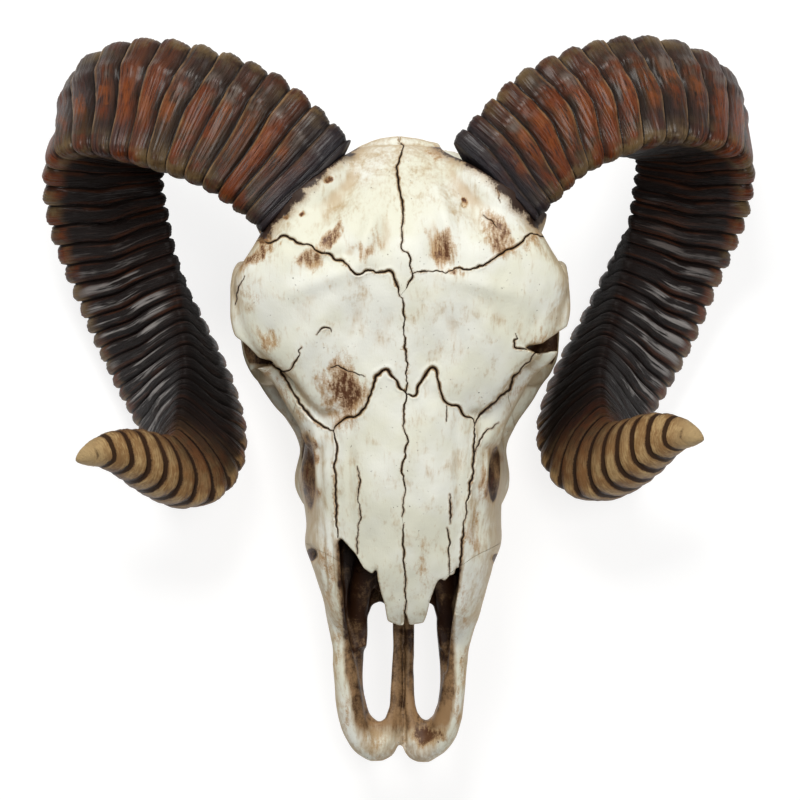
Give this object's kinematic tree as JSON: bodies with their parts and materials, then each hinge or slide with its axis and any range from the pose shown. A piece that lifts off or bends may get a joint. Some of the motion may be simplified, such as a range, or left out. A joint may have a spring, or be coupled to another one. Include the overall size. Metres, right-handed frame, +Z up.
{
  "type": "ram skull",
  "caption": "Life-size skull of a ram with heavy curled horns and no lower jaw, cut along its sutures, lying face up on its cheek teeth and horn curls.",
  "frame": {"origin": "centre of the footprint box, on the floor that the skull lies on", "axes": "+X to the skull's side that is on the right in the picture, +Y from the nose to the crown, +Z up, out of the forehead"},
  "size_m": [0.32, 0.323, 0.1243],
  "materials": {
    "bone": "dry, matt to satin, ivory with brown stains along the sutures",
    "horn": "satin, ribbed across, black-brown with tan ridge edges",
    "horn_tip": "satin, ochre with dark grooves"
  },
  "bodies": {
    "root": {"braincase": "bone", "parietal_left": "bone", "parietal_right": "bone", "frontal_left": "bone", "frontal_right": "bone", "nasal_left": "bone", "nasal_right": "bone", "maxilla_left": "bone", "maxilla_right": "bone", "premaxilla_left": "bone", "premaxilla_right": "bone", "zygomatic_left": "bone", "zygomatic_right": "bone", "horn_left_root": "horn", "horn_left_curl": "horn", "horn_left_tip": "horn_tip", "horn_right_root": "horn", "horn_right_curl": "horn", "horn_right_tip": "horn_tip"}
  },
  "joints": []
}
